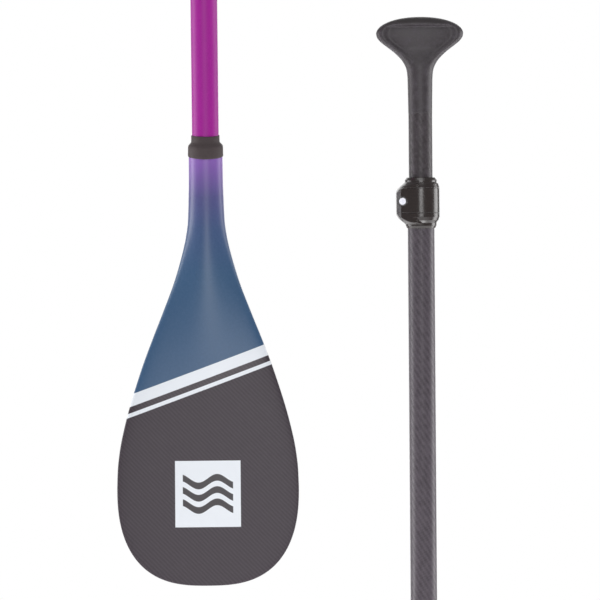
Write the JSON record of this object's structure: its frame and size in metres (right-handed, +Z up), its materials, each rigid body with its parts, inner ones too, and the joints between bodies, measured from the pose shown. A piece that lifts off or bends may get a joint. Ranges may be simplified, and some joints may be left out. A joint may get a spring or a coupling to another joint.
{
  "type": "single blade paddle",
  "caption": "Adjustable stand-up paddle taken apart at its ferrule: teardrop blade on a tube, and a clamped telescoping shaft with a palm grip.",
  "frame": {"origin": "centre of the open mouth of the blade section's tube", "axes": "+Z up along both shafts, +X from the blade section to the handle section, -Y the blade's decorated face"},
  "size_m": [0.3778, 0.0864, 1.2732],
  "materials": {
    "foam": "closed-cell foam",
    "blade_lacquer": "satin lacquer over carbon twill",
    "purple_lacquer": "satin purple lacquer",
    "heat_shrink": "matt heat-shrink sleeve",
    "acetal": "smooth acetal",
    "grip_moulding": "satin moulding, mottled",
    "carbon_tube": "satin carbon twill",
    "steel": "bright stainless steel",
    "glass_fibre": "ground laminate",
    "clamp_nylon": "gloss black nylon",
    "wiper_rubber": "soft rubber"
  },
  "bodies": {
    "blade_section": {"blade_core": "foam", "blade_face_skin": "blade_lacquer", "blade_back_skin": "blade_lacquer", "blade_throat": "blade_lacquer", "lower_tube": "purple_lacquer", "lower_tube_bung": "foam", "throat_collar": "heat_shrink"},
    "bush_carrier": {"guide_bush": "acetal"},
    "handle": {"palm_grip": "grip_moulding", "inner_tube": "carbon_tube", "grip_bung": "foam", "tube_end_plug": "acetal", "bush_clip": "steel"},
    "shaft_section": {"outer_tube": "carbon_tube", "ferrule": "glass_fibre", "ferrule_bung": "foam", "seal_ring": "wiper_rubber", "leaf_spring": "steel", "clamp_lip_ring": "clamp_nylon", "wiper_ring": "wiper_rubber", "clamp_band": "clamp_nylon", "clamp_skirt": "clamp_nylon", "tension_bolt": "steel", "cam_saddle": "acetal", "barrel_pin": "steel"},
    "lever": {"clamp_lever": "clamp_nylon"},
    "button": {"snap_button": "steel"}
  },
  "joints": [
    {"name": "bring_in_line", "type": "slide", "parent": "blade_section", "child": "bush_carrier", "axis": [-0.1456, 0, 0.9893], "range_m": [0, 1.60025]},
    {"name": "handle_turn", "type": "hinge", "parent": "bush_carrier", "child": "handle", "pos_m": [0.233, 0, -0.9352], "axis": [0, 0, 1], "continuous": true},
    {"name": "length_adjust", "type": "slide", "parent": "bush_carrier", "child": "shaft_section", "axis": [0, 0, -1], "range_m": [-0.068, 0.3997]},
    {"name": "lever_swing", "type": "hinge", "parent": "shaft_section", "child": "lever", "pos_m": [0.2126, 0.0172, -0.4833], "axis": [0, 0, 1], "range_deg": [0, 150]},
    {"name": "button_press", "type": "slide", "parent": "shaft_section", "child": "button", "axis": [0, -1, 0], "range_m": [0, 0.0037], "stiffness_N_per_m": 800, "springref_m": -0.001, "deforming": ["leaf_spring"]}
  ]
}
